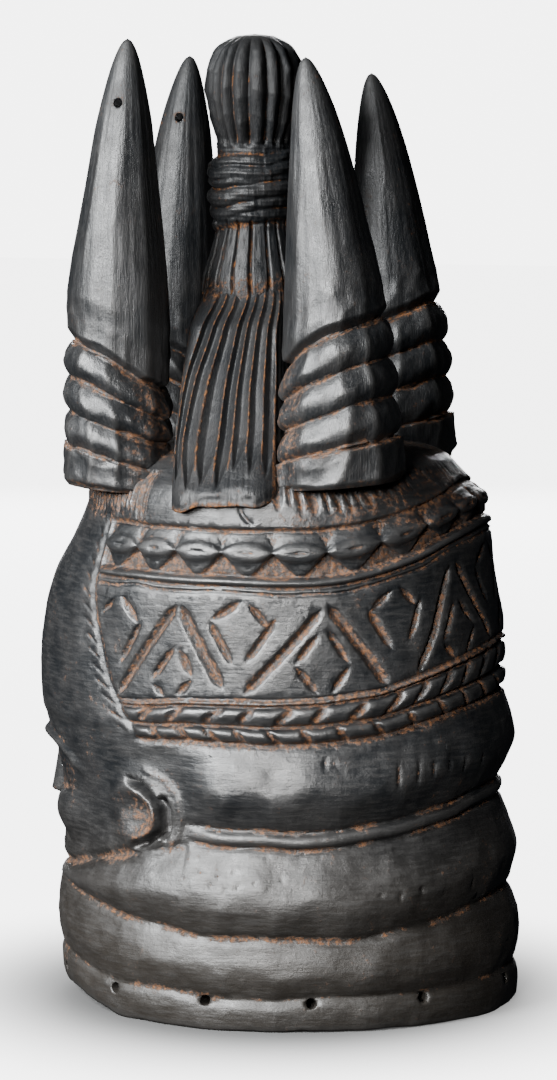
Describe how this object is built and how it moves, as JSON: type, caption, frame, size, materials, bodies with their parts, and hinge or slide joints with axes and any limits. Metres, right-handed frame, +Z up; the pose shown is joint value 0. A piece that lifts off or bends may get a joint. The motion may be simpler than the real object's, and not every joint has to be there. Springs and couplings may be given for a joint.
{
  "type": "sowei mask",
  "caption": "Hollow wooden helmet mask with ringed neck, carved head bands, horns and a ribbed topknot, worn over the head or stood on its rim.",
  "frame": {"origin": "on the ground plane under the middle of the mask, at the centre of its box", "axes": "+Z up along the mask, -Y where the face looks, +X toward the mask's own left ear"},
  "size_m": [0.2119, 0.2428, 0.4795],
  "materials": {
    "wood": "black stained, satin"
  },
  "bodies": {
    "root": {"mask": "wood"}
  },
  "joints": []
}
